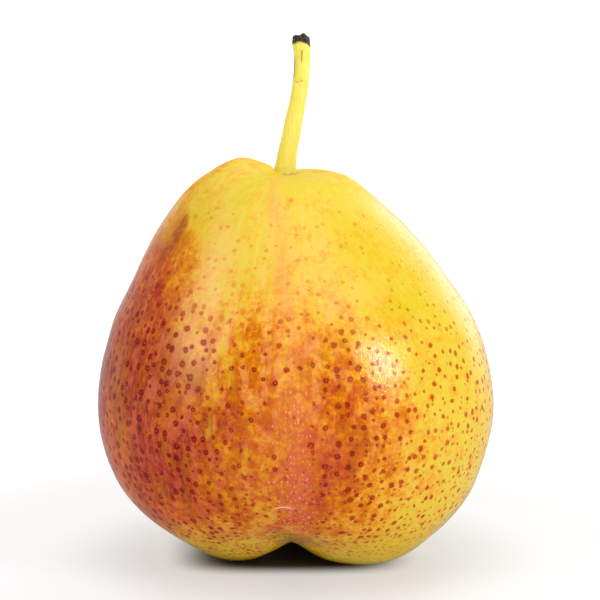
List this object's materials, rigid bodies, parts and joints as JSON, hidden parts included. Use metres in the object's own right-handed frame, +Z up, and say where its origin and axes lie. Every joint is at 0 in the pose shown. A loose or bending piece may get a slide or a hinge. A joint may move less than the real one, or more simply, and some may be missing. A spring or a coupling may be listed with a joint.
{
  "type": "pear",
  "caption": "Ripe pear with a speckled red blush, a curved woody stem and a dried eye in the basin under it, standing upright on the lobes round the eye.",
  "frame": {"origin": "on the surface the pear stands on, under the middle of its box", "axes": "+Z up to the stem, -Y to the side with the seam, which is the side in the picture, +X to that side's right"},
  "size_m": [0.0689, 0.0687, 0.0909],
  "materials": {
    "skin": "waxy fruit skin, satin, yellow with a speckled red blush",
    "stem": "smooth yellow-green bark, dark where it was cut",
    "calyx": "dry, matt, dark brown"
  },
  "bodies": {
    "root": {"fruit": "skin", "stem": "stem", "calyx": "calyx"}
  },
  "joints": []
}
